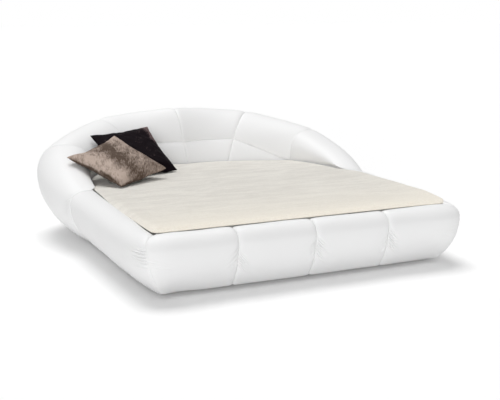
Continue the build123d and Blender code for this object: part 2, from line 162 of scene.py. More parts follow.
class StageSettings(bpy.types.PropertyGroup):
    """Camera, light and floor."""

    camera: FloatVectorProperty(
        name="Camera", description="Place of the camera",
        default=(-2.697, -6.001, 1.688), size=3, subtype="TRANSLATION", unit="LENGTH")
    heading: number("Heading", "How far the camera is turned from the bed's length", math.radians(24.81),
                    subtype="ANGLE")
    pitch: number("Pitch", "How far the camera looks down", math.radians(11.85), subtype="ANGLE")
    lens: number("Lens", "Focal length of the camera on a sensor 36 mm wide", 68.2, min=1, unit="CAMERA")
    room: number("Room Light", "Strength of the even light from all sides", 0.34, min=0)
    above: number("Light from Above", "Strength of the soft light from above and behind", 1.85, min=0)
    front: number("Light from the Front", "Strength of the low soft light from the front left", 1.25, min=0)
    floor_white: number("Floor White", "Light that the floor itself shows the camera", 0.10, min=0)


# Shapes: seams and the padding between them

# Columns of a section's numbers
X, Y, HEADING, CREST_OUT, CREST_HIGH, BULGE_OUT, BULGE_HIGH, BOTTOM, CROSS_HIGH, LEAN, SKEW, DRAWN = range(12)


def section(x, y, heading, crest, bulge, bottom, cross_high=EDGE_HIGH, lean=RAIL_LEAN_SHARE, skew=0.0,
            drawn=1.0):
    """Numbers of a section where the padding is drawn in: its place, its heading in plan and its outline."""
    return np.array([x, y, heading, *crest, *bulge, bottom, cross_high, lean, skew, drawn], dtype=float)


FOOT_OUTLINE = {"crest": (0.056, 0.380), "bulge": (0.120, 0.300), "bottom": 0.032}
foot_middle = section(0, -1, -90, **FOOT_OUTLINE)
foot_seam = section(0.515, -1, -90, **FOOT_OUTLINE)
corner_seam = section(0.985, -1, -45, (0.052, 0.380), (0.130, 0.305), 0.011, skew=0.135)
side_seam = section(0.985, 0.250, -6, (0.062, 0.404), (0.158, 0.330), -0.002, lean=ARM_LEAN_SHARE, drawn=0.15)
wing_seam = section(0.813, 0.829, 24, (0.252, 0.631), (0.412, 0.450), 0.044, 0.396, ARM_LEAN_SHARE,
                    drawn=0.7)
head_seam = section(0.329, 0.995, 45, (0.430, 0.761), (0.535, 0.435), 0.205, 0.575)
middle_seam = section(0, 1.010, 90, (0.310, 0.815), (0.455, 0.446), 0.150, 0.575)

# Powers of the share by which a straight run's heading and a seam's skew die away from the seam
HEADING_POWER = 8
SKEW_POWER = 4


class Run:
    """The padding between two seams: straight along a rail or bowed round the shell."""

    def __init__(self, first, last, bowed):
        self.first = first
        self.last = last
        self.bowed = bowed
        self.step = (last - first)[:HEADING]
        self.length = float(np.hypot(*self.step))

    def along(self, share):
        """Sections at shares of the way. Each number is mixed evenly. On a bowed run the place is moved
        out by a parabola as deep as an arc through both headings; on a straight run the heading is the
        run's own and turns to the seams' headings only close to them."""
        first, last = self.first, self.last
        mixed = first + (last - first) * share[:, None]
        if self.bowed:
            sweep = math.radians(last[HEADING] - first[HEADING])
            bow = 2 * self.length * math.tan(sweep / 4) * share * (1 - share)
            turn = np.radians(mixed[:, HEADING])
            mixed[:, X] += bow * np.cos(turn)
            mixed[:, Y] += bow * np.sin(turn)
        else:
            own = math.degrees(math.atan2(self.step[1], self.step[0])) - 90
            at_last = (last[HEADING] - own) * share ** HEADING_POWER
            at_first = (first[HEADING] - own) * (1 - share) ** HEADING_POWER
            mixed[:, HEADING] = own + at_last + at_first
        mixed[:, SKEW] = first[SKEW] * (1 - share) ** SKEW_POWER + last[SKEW] * share ** SKEW_POWER
        return mixed


RUNS = {
    "foot_pad_inner": Run(foot_middle, foot_seam, False),
    "foot_pad_outer": Run(foot_seam, corner_seam, False),
    "side_pad": Run(corner_seam, side_seam, False),
    "arm_pad": Run(side_seam, wing_seam, True),
    "wing_pad": Run(wing_seam, head_seam, True),
    "head_pad": Run(head_seam, middle_seam, True),
}


def conic(start, corner, end, weight, count):
    """Points from start to end on the conic arc that leaves and arrives along the lines to the corner:
    ((1-t)^2 start + 2 w t (1-t) corner + t^2 end) / ((1-t)^2 + 2 w t (1-t) + t^2)."""
    t = np.linspace(0, 1, count)[None, :, None]
    near = (1 - t) ** 2
    middle = 2 * weight * t * (1 - t)
    far = t ** 2
    start, corner, end = (p[:, None, :] for p in (start, corner, end))
    return (near * start + middle * corner + far * end) / (near + middle + far)


def path(start, *stops):
    """Straight legs from one corner to the next. Each stop is a corner and the leg's number of points."""
    legs = []
    for end, count in stops:
        t = np.linspace(0, 1, count)[None, :, None]
        legs.append(start[:, None, :] * (1 - t) + end[:, None, :] * t)
        start = end
    return legs


def pair(out, high):
    """Two rows of numbers as points (out, high)."""
    return np.stack([out, high], axis=-1)


def chain(*legs):
    """One closed outline from legs that follow each other, with each corner once."""
    return np.concatenate([leg[:, :-1] for leg in legs], axis=1)


# Points on each leg of an outline: lower face, shoulder, inner face, wall, returns behind it and hem
BELLY_POINTS, SHOULDER_POINTS, INNER_POINTS, WALL_POINTS, RETURN_POINTS, HEM_POINTS = 120, 80, 60, 12, 4, 6


def pad_sections(sections, swell, kind):
    """Closed outlines (out, high) of the padding along a run: the lower face a circle's arc upright at the
    bulge, the shoulder a quarter of an ellipse up to the crest, and the inner face a softer quarter down
    to the edge of the sleeping place or to the cross seam. kind is whole, upper or lower."""
    crest_out, crest_high, bulge_out, bulge_high, bottom_out, cross_high = sections[:, CREST_OUT:LEAN].T
    rows = np.ones(len(sections))
    bulge_out = bulge_out + swell
    crest_top = crest_high + swell * TOP_SWELL_SHARE
    bottom = pair(bottom_out, SKIRT_LOW * rows)
    bulge = pair(bulge_out, bulge_high)
    crest = pair(crest_out, crest_top)
    edge = pair(0 * rows, EDGE_HIGH * rows)
    low = pair(0 * rows, MATTRESS_LOW * rows)
    lean = sections[:, LEAN] * crest_out / (crest_high - EDGE_HIGH + LEAN_DEPTH)
    rise = cross_high - EDGE_HIGH
    seam = pair(lean * rise, cross_high)
    behind = pair(seam[:, 0] + LOWER_PAD_DEEP, cross_high - LOWER_PAD_DROP)
    behind_low = pair(LOWER_PAD_DEEP * rows, MATTRESS_LOW * rows)
    if kind == "lower":
        belly = swell * rise / (crest_top - EDGE_HIGH) + LEAST_BELLY
        full = pair(seam[:, 0] / 2 - 2 * belly, EDGE_HIGH + rise / 2)
        return chain(conic(seam, full, edge, 1.0, INNER_POINTS),
                     *path(edge, (low, WALL_POINTS), (behind_low, RETURN_POINTS), (behind, HEM_POINTS),
                           (seam, RETURN_POINTS)))
    reach = bulge_out - bottom_out
    fall = bulge_high - SKIRT_LOW
    slant = np.hypot(reach, fall)
    tangent = pair(bulge_out, bulge_high - slant ** 2 / (2 * fall))
    weight = (fall / slant)[:, None, None]
    legs = [conic(bottom, tangent, bulge, weight, BELLY_POINTS),
            conic(bulge, pair(bulge_out, crest_top), crest, SHOULDER_WEIGHT, SHOULDER_POINTS)]
    low_inner = pair(PAD_INNER * rows, MATTRESS_LOW * rows)
    hem = [(pair(PAD_INNER * rows, SKIRT_LOW * rows), HEM_POINTS), (bottom, HEM_POINTS)]
    if kind == "whole":
        steeper = RAIL_LEAN_SHARE - sections[:, LEAN]
        full = SHOULDER_WEIGHT + INNER_FULLNESS * steeper[:, None, None]
        corner = pair(lean * (crest_top - EDGE_HIGH) - INNER_PUSH * steeper, crest_top)
        legs += [conic(crest, corner, edge, full, INNER_POINTS),
                 *path(edge, (low, WALL_POINTS), (low_inner, RETURN_POINTS), *hem)]
    else:
        corner = pair(seam[:, 0] + lean * (crest_top - cross_high) - swell, crest_top)
        legs += [conic(crest, corner, seam, SHOULDER_WEIGHT, INNER_POINTS),
                 *path(seam, (behind, RETURN_POINTS), (behind_low, HEM_POINTS), (low_inner, HEM_POINTS),
                       *hem)]
    return chain(*legs)


def swell_inside(outline, sections, depth):
    """Moves the inner face between the throw and the crest inwards, by half a sine wave over its height."""
    high = outline[..., 1]
    rise = (high - THROW_HIGH) / np.maximum(high.max(axis=1, keepdims=True) - THROW_HIGH, LEAST_RISE)
    inside = outline[..., 0] < sections[:, CREST_OUT][:, None]
    out = outline[..., 0] - depth[:, None] * np.sin(math.pi * np.clip(rise, 0, 1)) * inside
    return np.stack([out, high], axis=-1)


def inward_offset(outline, depth, level):
    """Moves closed outlines inwards by a depth given for each point, along the normal in the section:
    the direction to the next point less the one before, turned a quarter. Where level is 1, at a cross
    seam, the move is level instead, so that the pads above and below the seam stay together."""
    way = np.roll(outline, -1, axis=1) - np.roll(outline, 1, axis=1)
    way /= np.maximum(np.linalg.norm(way, axis=2, keepdims=True), 1e-9)
    normal = np.stack([way[..., 1], -way[..., 0]], axis=-1)
    normal = normal * (1 - level[..., None]) + np.array([-1.0, 0]) * level[..., None]
    return outline - normal * depth[..., None]


# Unevenness: the range of its waves' lengths as shares of their mean, and what brings their sum to about one
WAVE_LENGTH_SHARES = (0.7, 1.5)
WAVE_PEAK = 1.5


def slow_waves(points, length, seed, count=9):
    """Smooth unevenness from -1 to 1: the mean of sine waves of about one length that run in seeded
    directions with seeded phases."""
    rng = np.random.default_rng(seed)
    ways = rng.normal(size=(count, points.shape[-1]))
    ways /= np.linalg.norm(ways, axis=1, keepdims=True)
    lengths = length * rng.uniform(*WAVE_LENGTH_SHARES, count)
    phases = rng.uniform(0, 2 * math.pi, count)
    angle = points @ (ways / lengths[:, None]).T * 2 * math.pi + phases
    return np.sin(angle).sum(axis=-1) / math.sqrt(count) / WAVE_PEAK


# Folds at a seam: their spacing and reach, how far one strays from its place and how wide it is as shares of
# the spacing, and the range of their reaches as shares
FOLD_SPACING = 0.019
FOLD_REACH = 0.016
FOLD_STRAY_SHARE = 0.25
FOLD_WIDE_SHARE = 0.23
FOLD_REACH_SHARES = (0.7, 1.6)


def gathers(distance, run_length, middle, half, slant, seed):
    """Short folds at a seam, 0 to 1: grooves at seeded spacings on both sides of a middle place along
    the seam. Each leans by the slant as it leaves the seam, grows over the reach and then dies away."""
    rng = np.random.default_rng(seed)
    total = np.zeros(np.broadcast(distance, run_length).shape)
    places = np.arange(middle - half, middle + half, FOLD_SPACING)
    stray = rng.uniform(-FOLD_STRAY_SHARE, FOLD_STRAY_SHARE, len(places))
    for place in places + stray * FOLD_SPACING:
        share = 1 - ((place - middle) / half) ** 2
        long = FOLD_REACH * rng.uniform(*FOLD_REACH_SHARES)
        across = (run_length - place - slant * distance) / (FOLD_SPACING * FOLD_WIDE_SHARE)
        total += share * np.exp(-across ** 2) * distance / long * np.exp(1 - distance / long)
    return total


def in_row_frame(sections, outline):
    """Outlines (out, high) set up at their sections: out along the heading, with the lean moving a point
    along the run by its height above the edge."""
    turn = np.radians(sections[:, HEADING])[:, None]
    shift = sections[:, SKEW][:, None] * (outline[..., 1] - EDGE_HIGH)
    x = sections[:, X][:, None] + outline[..., 0] * np.cos(turn) - shift * np.sin(turn)
    y = sections[:, Y][:, None] + outline[..., 0] * np.sin(turn) + shift * np.cos(turn)
    return np.stack([x, y, outline[..., 1]], axis=-1)


def share_steps(count, evenness=0.35):
    """Shares from 0 to 1 that lie closer together near both ends: even steps mixed with half a cosine."""
    even = np.linspace(0, 1, count)
    return evenness * even + (1 - evenness) * (0.5 - 0.5 * np.cos(math.pi * even))


# Distance over which painted shade greys the leather at a seam, and how much of it a fold and a cross seam
# have
SEAM_SHADE = 0.004
FOLD_SHADE = 0.75
CROSS_SHADE = 0.7

# Distances over which the unevenness begins at a seam, repeats, and over which the cross seam lies level
EASE_START = 0.05
EASE_LENGTH = 0.30
LEVEL_REACH = 0.03

# Points at the end of an outline that stay plain since they are hidden, and those after the cross seam
PLAIN_POINTS = {"whole": 18, "upper": 22, "lower": 26}
POINTS_AFTER_SEAM = 23

# Points along a panel: a number and how many more for each metre
PANEL_POINTS = (40, 80)

# Gathers at the two ends of each run: middle and half of their length round the section, slant, depth share
GATHERS = {
    "foot_pad_inner": ((0.235, 0.085, -0.9, 1.0), (0.215, 0.075, -1.0, 0.8)),
    "foot_pad_outer": ((0.235, 0.085, -0.9, 1.0), (0.26, 0.05, -0.2, 0.3)),
    "side_pad": ((0.285, 0.07, 0.05, 1.0), (0.36, 0.09, -0.8, 0.5)),
    "arm_pad": ((0.38, 0.10, -0.8, 0.6), (0.55, 0.08, -0.5, 0.4)),
    "wing_pad": ((0.55, 0.08, -0.5, 0.4), (0.62, 0.07, -0.4, 0.4)),
    "head_pad": ((0.62, 0.07, -0.4, 0.4), (0.60, 0.07, -0.4, 0.4)),
}


def pad_points(name, side, settings):
    """Points of one padded panel on a grid, along the run by round the section, and the painted shade of
    each, grey at seams, in folds and along the cross seam. The swell along the run mixes a constant with the
    square root of 1 - |2 share - 1|^5, so the panel dips only close to its seams. There it is also tucked in
    and gathered, and all of it is slowly uneven."""
    lower = "lower" in name
    whole = name.replace("_lower", "")
    run = RUNS[whole]
    shell = name.startswith(("arm", "wing", "head"))
    kind = "whole"
    if name.startswith(("wing", "head")):
        kind = "lower" if lower else "upper"
    share = share_steps(round(PANEL_POINTS[0] + PANEL_POINTS[1] * run.length))
    sections = run.along(share)
    drawn = sections[:, DRAWN]
    ends = [(part * run.length)[:, None] for part in (share, 1 - share)]

    def at_seams(reach):
        """One at a seam, as far as it is drawn in, and fading over the reach."""
        return drawn[0] * np.exp(-ends[0] / reach) + drawn[-1] * np.exp(-ends[1] / reach)

    broad = np.sqrt(np.clip(1 - np.abs(2 * share - 1) ** 5, 0, 1))
    crown = 1 - drawn * (1 - settings.seam_share) * (1 - broad)
    outline = pad_sections(sections, (settings.shell_swell if shell else settings.rail_swell) * crown, kind)
    if name == "arm_pad":
        outline = swell_inside(outline, sections, settings.arm_swell * crown)
    steps = np.linalg.norm(np.diff(outline, axis=1, prepend=outline[:, :1]), axis=2)
    round_way = np.cumsum(steps, axis=1)
    rough = in_row_frame(sections, outline)
    seed = 1 + sorted(RUNS).index(whole) * 4 + (side == "left") * 2 + lower
    inside_ends = 1 - np.exp(-np.minimum(*ends) / EASE_START)
    ease = settings.ease * inside_ends * slow_waves(rough, EASE_LENGTH, seed)
    fold = np.zeros(outline.shape[:2])
    if not lower:
        for index, (middle, half, slant, deep) in enumerate(GATHERS[name]):
            fold += deep * gathers(ends[index], round_way, middle, half, slant, seed * 10 + index)
    shown = np.ones(outline.shape[1])
    shown[-PLAIN_POINTS[kind]:] = 0
    level = np.zeros(outline.shape[:2])
    crossing = np.zeros(outline.shape[:2])
    if kind != "whole":
        seam = 0 if lower else outline.shape[1] - POINTS_AFTER_SEAM
        from_seam = np.linalg.norm(outline - outline[:, seam:seam + 1], axis=2)
        level = np.exp(-(from_seam / LEVEL_REACH) ** 2)
        crossing = np.exp(-from_seam / settings.cross_reach)
    tuck = settings.tuck * at_seams(settings.tuck_reach) + settings.cross_tuck * crossing
    depth = (tuck + settings.gather * fold + ease) * shown
    points = in_row_frame(sections, inward_offset(outline, depth, level))
    points[..., 0] *= MIRROR[side]
    # Painted shade: darker where the leather is drawn into a seam, in its folds and along the cross seam
    painted_shade = at_seams(SEAM_SHADE) + FOLD_SHADE * fold + CROSS_SHADE * crossing ** 2
    return points, np.clip(painted_shade, 0, 1)


# Shapes: outline of the sleeping place and what lies in it

def place_outline(out, shell_out, spacing=0.004, smoothing=0.022):
    """Closed outline round the sleeping place, anticlockwise: the inner edge of the padding moved out
    along the foot and most of each side, moved by another distance along the shell, and then smoothed by
    a running weighted mean. Returns the points and the indices of foot corners and wing seams."""
    rows, moves = [], []
    for name, run in RUNS.items():
        share = np.linspace(0, 1, round(run.length / spacing), endpoint=False)
        rows.append(run.along(share)[:, :2])
        ends = {"foot": (out, out), "side": (out, shell_out)}.get(name[:4], (shell_out, shell_out))
        moves.append(np.interp(share, [LAP_END, 1], ends))
    right = np.concatenate([*rows, middle_seam[None, :HEADING]])
    move = np.concatenate([*moves, [shell_out]])
    loop = np.concatenate([right, right[-2:0:-1] * (-1, 1)])
    loop = loop + rim_normals(loop, 1) * np.concatenate([move, move[-2:0:-1]])[:, None]
    count = len(loop)
    offset = np.minimum(np.arange(count), count - np.arange(count)) * spacing
    kernel = np.exp(-(offset / smoothing) ** 2 / 2)
    kernel /= kernel.sum()
    smooth = np.fft.ifft(np.fft.fft(loop, axis=0) * np.fft.fft(kernel)[:, None], axis=0).real
    corner = sum(len(row) for row in rows[:2])
    wing = sum(len(row) for row in rows[:4])
    return smooth, [count - corner, corner, wing, count - wing]


def resampled(points, shares):
    """A row of points at shares of the length of the same line."""
    way = np.concatenate([[0], np.cumsum(np.linalg.norm(np.diff(points, axis=0), axis=1))])
    at = shares * way[-1]
    return np.stack([np.interp(at, way, points[:, axis]) for axis in (0, 1)], axis=1)


def place_sides(out, shell_out, shares):
    """The four sides of the sleeping place as rows of points: foot, right, head and left."""
    loop, (left_foot, right_foot, right_wing, left_wing) = place_outline(out, shell_out)
    double = np.concatenate([loop, loop])
    spans = ((left_foot, right_foot + len(loop), 1), (right_foot, right_wing, 1), (right_wing, left_wing, -1),
             (left_wing, left_foot, -1))
    return [resampled(double[first:last + 1][::way], shares) for first, last, way in spans]


def patch(sides, shares):
    """Grid of points inside four sides, as a Coons patch: the two straight blends between facing sides,
    added, less the blend of the four corners."""
    foot, right, head, left = sides
    s = shares[None, :, None]
    t = shares[:, None, None]
    blends = (1 - t) * foot[None] + t * head[None] + (1 - s) * left[:, None] + s * right[:, None]
    corners = ((1 - t) * ((1 - s) * foot[0] + s * foot[-1]) + t * ((1 - s) * head[0] + s * head[-1]))
    return blends - corners


def rim_of(count):
    """Indices of a square grid's rim, anticlockwise from its first point."""
    foot = np.arange(count)
    right = count - 1 + count * np.arange(1, count)
    head = count * (count - 1) + np.arange(count - 2, -1, -1)
    left = count * np.arange(count - 2, 0, -1)
    return np.concatenate([foot, right, head, left])


def rim_normals(rim, step=2):
    """Outward directions in plan along a closed anticlockwise rim, from the points some steps each way."""
    way = np.roll(rim, -step, axis=0) - np.roll(rim, step, axis=0)
    way /= np.linalg.norm(way, axis=1, keepdims=True)
    return np.stack([way[:, 1], -way[:, 0]], axis=1)


def raised(plan, level):
    """Points in plan set at a level, which is one number or one for each point."""
    return np.concatenate([plan, np.broadcast_to(level, plan.shape[:-1])[..., None]], axis=-1)


def grid_faces(rows, columns, around=False, closed=False):
    """Four-sided faces of a grid of points, closed from its last column or row to the first if asked."""
    i, j = np.meshgrid(np.arange(rows if closed else rows - 1), np.arange(columns if around else columns - 1),
                       indexing="ij")
    k = (j + 1) % columns
    n = (i + 1) % rows
    corners = [i * columns + j, i * columns + k, n * columns + k, n * columns + j]
    return np.stack(corners, axis=-1).reshape(-1, 4)


def closed_slab(upper, layers, under):
    """Points and faces of a slab: an upper grid, rings of points down its side and a lower grid."""
    count = len(upper)
    rim = rim_of(count)
    rings = count * count + np.arange(layers[..., 0].size).reshape(len(layers), -1)
    low_start = count * count + rings.size
    index = np.concatenate([rim[None], rings, low_start + rim[None]])
    after = np.roll(index, -1, axis=1)
    sides = np.stack([index[:-1], index[1:], after[1:], after[:-1]], axis=-1).reshape(-1, 4)
    top = grid_faces(count, count)
    points = np.concatenate([part.reshape(-1, 3) for part in (upper, layers, under)])
    return points, np.concatenate([top, sides, low_start + top[:, ::-1]])


# Meshes

def placed(name, data):
    """New object in the scene's collection."""
    thing = bpy.data.objects.new(name, data)
    bpy.context.collection.objects.link(thing)
    return thing


def new_piece(name, points, faces, material, body, caps=()):
    """Object from points, four-sided faces and cap outlines, smooth but for its sharp edges."""
    mesh = bpy.data.meshes.new(name)
    mesh.from_pydata(points.reshape(-1, 3).tolist(), [], faces.tolist() + [list(cap) for cap in caps])
    mesh.shade_smooth()
    mesh.set_sharp_from_angle(angle=math.radians(55))
    mesh.materials.append(material)
    mesh.update()
    piece = placed(name, mesh)
    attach(piece, body)
    return piece


def point_values(piece, name, values):
    """Stores one number for each point of a piece, for its material to read."""
    layer = piece.data.attributes.new(name, "FLOAT", "POINT")
    layer.data.foreach_set("value", np.asarray(values, dtype=np.float32).ravel())


def tube_along(loop, radius, sides=10):
    """Closed tube round a closed loop of points in space: circles of one radius, upright and across."""
    out = raised(rim_normals(loop[:, :2], 1), 0)
    turn = np.linspace(0, 2 * math.pi, sides, endpoint=False)[None, :, None]
    up = np.array([0, 0, 1.0])
    points = loop[:, None] + radius * (np.cos(turn) * out[:, None] + np.sin(turn) * up)
    return points, grid_faces(len(loop), sides, True, True)[:, [0, 3, 2, 1]]


# Materials

class Tree:
    """Nodes of a material or a world, with short ways to add and link them."""

    def __init__(self, owner):
        owner.use_nodes = True
        self.nodes = owner.node_tree.nodes
        self.link = owner.node_tree.links.new

    def feed(self, node, values):
        """Links each named socket of a node to an output, or sets it to a number, a vector or a colour."""
        for name, value in values.items():
            socket = node.inputs[name]
            if isinstance(value, bpy.types.NodeSocket):
                self.link(value, socket)
            else:
                socket.default_value = (*value, 1) if socket.type == "RGBA" else value
        return node

    def add(self, kind, values, **choices):
        """New node with its choices and the values of its sockets."""
        node = self.nodes.new("ShaderNode" + kind)
        for name, choice in choices.items():
            setattr(node, name, choice)
        return self.feed(node, values)

    def shade(self, values):
        """Sets the sockets of the main shader."""
        self.feed(self.nodes["Principled BSDF"], values)

    def attribute(self, name, output="Fac"):
        """Value or vector that a piece keeps for each of its points."""
        return self.add("Attribute", {}, attribute_name=name).outputs[output]

    def texture(self, kind, scale, stretch=(1, 1, 1), own="", **values):
        """Texture in cells for each metre, stretched along the axes, in object coordinates or in the piece's
        own coordinates of a given name."""
        place = self.attribute(own, "Vector") if own else self.add("TexCoord", {}).outputs["Object"]
        mapping = self.add("Mapping", {"Scale": stretch, "Vector": place})
        return self.add(kind, {"Scale": scale, "Vector": mapping.outputs["Vector"], **values}).outputs[0]

    def ramp(self, source, low, high, first=(0, 0, 0), last=(1, 1, 1)):
        """Colour ramp between two colours over a range of the source's value."""
        node = self.add("ValToRGB", {"Fac": source})
        for element, position, colour in zip(node.color_ramp.elements, (low, high), (first, last)):
            element.position = position
            element.color = (*colour, 1)
        return node.outputs["Color"]

    def mixed(self, share, first, last, blend="MIX"):
        """Blend of two colours or colour sources by a share."""
        node = self.add("Mix", {}, data_type="RGBA", blend_type=blend)
        return self.feed(node, {"Factor": share, "A": first, "B": last}).outputs[2]

    def maths(self, operation, *values):
        """Arithmetic on numbers and outputs."""
        return self.add("Math", dict(enumerate(values)), operation=operation).outputs[0]

    def bump(self, height, strength, distance, *before):
        """Bump from a height source, over an earlier bump if there is one."""
        values = {"Strength": strength, "Distance": distance, "Height": height}
        return self.add("Bump", values | {"Normal": earlier for earlier in before}).outputs["Normal"]


def new_material(name):
    """Material and its nodes."""
    material = bpy.data.materials.new(name)
    return material, Tree(material)


def leather_material(settings):
    """Soft white leather: pebbled grain in two sizes, fine creases, and painted shade that greys it at seams
    and in folds.
    """
    material, tree = new_material("white_leather")
    tone = tree.texture("TexNoise", 3.5, Detail=3.0)
    gloss = tree.texture("TexNoise", 14, Detail=4.0)
    pebbles = tree.texture("TexVoronoi", 420)
    creases = tree.texture("TexNoise", 60, Detail=6.0, Roughness=0.62)
    leather = tree.mixed(tone, settings.leather, [min(1, c * 1.035) for c in settings.leather])
    tree.shade({
        # Painted shade: the leather is mixed towards grey by the shade each point keeps at seams, folds and
        # the cross seam
        "Base Color": tree.mixed(tree.attribute("seam"), leather, settings.leather_shade_grey),
        "Roughness": tree.ramp(gloss, 0.3, 0.7, (0.36,) * 3, (0.46,) * 3),
        "Specular IOR Level": 0.45,
        "Normal": tree.bump(creases, 0.16, 0.002, tree.bump(pebbles, 0.22, 0.0005))})
    return material


def plush_material(settings):
    """Short cream pile: brushed streaks, tufts and a soft sheen, with painted light that makes it lighter and
    warmer near the foot.
    """
    material, tree = new_material("cream_plush")
    brushed = tree.texture("TexNoise", 5.5, (0.6, 2.4, 1), Detail=5.0, Roughness=0.6, Distortion=0.8)
    tufts = tree.texture("TexNoise", 90, (0.7, 1.6, 1), Detail=4.0, Roughness=0.7)
    hairs = tree.texture("TexNoise", 700, Detail=3.0, Roughness=0.8)
    plain = tree.mixed(tree.ramp(brushed, 0.36, 0.66), settings.cream, settings.cream_light)
    # Painted light: the cream is mixed towards a lighter, warmer colour near the foot
    painted_foot_light = tree.mixed(tree.attribute("painted_foot_light"), plain, settings.cream_painted_light)
    speck = tree.ramp(tufts, 0.3, 0.7, (0.90, 0.89, 0.87), (1, 1, 1))
    tufted = tree.bump(tufts, 0.6, 0.006, tree.bump(hairs, 0.5, 0.0015))
    tree.shade({
        "Base Color": tree.mixed(1, painted_foot_light, speck, "MULTIPLY"),
        "Roughness": 0.95, "Specular IOR Level": 0.15, "Sheen Weight": 0.25, "Sheen Roughness": 0.6,
        "Normal": tree.bump(brushed, 0.35, 0.02, tufted)})
    return material


# How sharply crushed velvet changes between its two colours
VELVET_CONTRAST = 2.0


def velvet_material(name, deep, light, sheen, gloss):
    """Crushed velvet: streaks of pile drawn out along the cloth, broken by softer patches, both mixed with
    painted light and shade, bands of painted highlight and shade which the piece keeps for each point."""
    material, tree = new_material(name)
    patches = tree.texture("TexNoise", 1, (15, 9, 10), "lay", Detail=4.0, Roughness=0.6, Distortion=0.5)
    streaks = tree.texture("TexNoise", 1, (95, 22, 40), "lay", Detail=4.0, Roughness=0.7)
    mottled = tree.maths("ADD", patches, streaks)
    # Painted light and shade: each point's kept value shifts the velvet towards its light or its deep colour
    lie = tree.maths("MULTIPLY_ADD", mottled, VELVET_CONTRAST, tree.attribute("painted_light_and_shade"))
    tree.shade({
        "Base Color": tree.mixed(tree.maths("SUBTRACT", lie, VELVET_CONTRAST), deep, light),
        "Roughness": 0.75, "Specular IOR Level": gloss,
        "Sheen Weight": sheen, "Sheen Roughness": 0.35, "Sheen Tint": [min(1, c * 1.4) for c in light],
        "Normal": tree.bump(streaks, 0.5, 0.003, tree.bump(patches, 0.45, 0.012))})
    return material


def ticking_material(settings):
    """Knitted mattress cover."""
    material, tree = new_material("mattress_ticking")
    knit = tree.texture("TexVoronoi", 260, (1, 1.6, 1))
    tone = tree.texture("TexNoise", 4, Detail=3.0)
    tree.shade({
        "Base Color": tree.mixed(tone, [c * 0.94 for c in settings.ticking], settings.ticking),
        "Roughness": 0.9,
        "Normal": tree.bump(knit, 0.5, 0.0012)})
    return material


def timber_material(name, pale, deep, stretch, roughness):
    """Sawn or pressed wood: stretched grain with a fine fibre on it."""
    material, tree = new_material(name)
    grain = tree.texture("TexNoise", 9, stretch, Detail=8.0, Roughness=0.65, Distortion=0.7)
    fibre = tree.texture("TexNoise", 160, stretch, Detail=4.0)
    tree.shade({
        "Base Color": tree.mixed(tree.ramp(grain, 0.38, 0.62), deep, pale),
        "Roughness": roughness,
        "Normal": tree.bump(fibre, 0.3, 0.0006)})
    return material


def metal_material(name, colour, metallic, roughness):
    """Coated or plated steel, or plastic, with an uneven gloss."""
    material, tree = new_material(name)
    uneven = tree.texture("TexNoise", 220, Detail=4.0)
    tree.shade({
        "Base Color": tree.mixed(uneven, [c * 0.8 for c in colour], colour),
        "Metallic": metallic,
        "Roughness": tree.ramp(uneven, 0.3, 0.7, (roughness * 0.85,) * 3, (roughness * 1.15,) * 3),
        "Normal": tree.bump(uneven, 0.12, 0.0004)})
    return material


# Finishes by slot: pale and deep colour, stretch of the grain and roughness of the wood
TIMBERS = {
    "plywood": ((0.60, 0.42, 0.24), (0.48, 0.32, 0.17), (1, 1, 9), 0.6),
    "thin_board": ((0.30, 0.19, 0.11), (0.24, 0.15, 0.08), (3, 3, 3), 0.5),
    "spruce": ((0.66, 0.48, 0.28), (0.52, 0.35, 0.18), (9, 1, 9), 0.6),
    "birch": ((0.72, 0.54, 0.34), (0.62, 0.44, 0.25), (1, 9, 9), 0.4),
}

# The same of steel and plastic: colour, how metallic and how rough
METALS = {
    "black_steel": ((0.02, 0.02, 0.022), 0.0, 0.42),
    "bracket_steel": ((0.55, 0.55, 0.56), 1.0, 0.38),
    "bolt_steel": ((0.62, 0.62, 0.62), 1.0, 0.28),
    "black_plastic": ((0.025, 0.025, 0.026), 0.0, 0.55),
}


# Operators

class BedOperator:
    """What the operators share."""

    bl_options = {"REGISTER", "UNDO"}

    def pads(self, context, names):
        """Makes the panels of these names on both sides, each in place of its node."""
        settings = context.scene.bed_padding
        material = bpy.data.materials.get("white_leather") or leather_material(settings)
        for name in names:
            for side in MIRROR:
                node = f"{name}_{side}"
                points, point_shade = pad_points(name, side, settings)
                rows, columns = points.shape[:2]
                faces = grid_faces(rows, columns, around=True)
                caps = [np.arange(columns)[::-1], (rows - 1) * columns + np.arange(columns)]
                if side == "right":
                    faces = faces[:, ::-1]
                    caps = [cap[::-1] for cap in caps]
                piece = new_piece(f"{node}_leather", points, faces, material, "frame", caps)
                # The painted shade of each point, for the leather to grey it by
                point_values(piece, "seam", point_shade)
                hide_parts(node)


class BED_OT_rail_pads(BedOperator, bpy.types.Operator):
    """Padded panels of the foot and the sides"""

    bl_idname = "bed.rail_pads"
    bl_label = "Rail Pads"

    def execute(self, context):
        self.pads(context, ["foot_pad_inner", "foot_pad_outer", "side_pad"])
        return {"FINISHED"}


class BED_OT_shell_pads(BedOperator, bpy.types.Operator):
    """Padded panels of the arms and the headboard, with the lower pads under its cross seam"""

    bl_idname = "bed.shell_pads"
    bl_label = "Headboard Pads"

    def execute(self, context):
        self.pads(context, ["arm_pad", "wing_pad", "head_pad", "wing_lower_pad", "head_lower_pad"])
        return {"FINISHED"}


# Points round the rolled edge of the mattress or the throw, and levels down the mattress's wall
ROLL_POINTS = 8
WALL_LEVELS = 9

# Mattress: its points along a side, its gap to the rails, how far it stays inside its solid below and above,
# the radius of its edges, the bow of its wall, how wide a quilting line is and its piping
MATTRESS_POINTS = 150
MATTRESS_GAP = 0.018
MATTRESS_INSET = (0.001, 0.003)
MATTRESS_EDGE = 0.018
WALL_BOW = 0.0015
QUILT_LINE = 0.16
PIPING_RADIUS = 0.004
PIPING_DOWN_SHARE = 0.75
PIPING_OUT_SHARE = 0.98


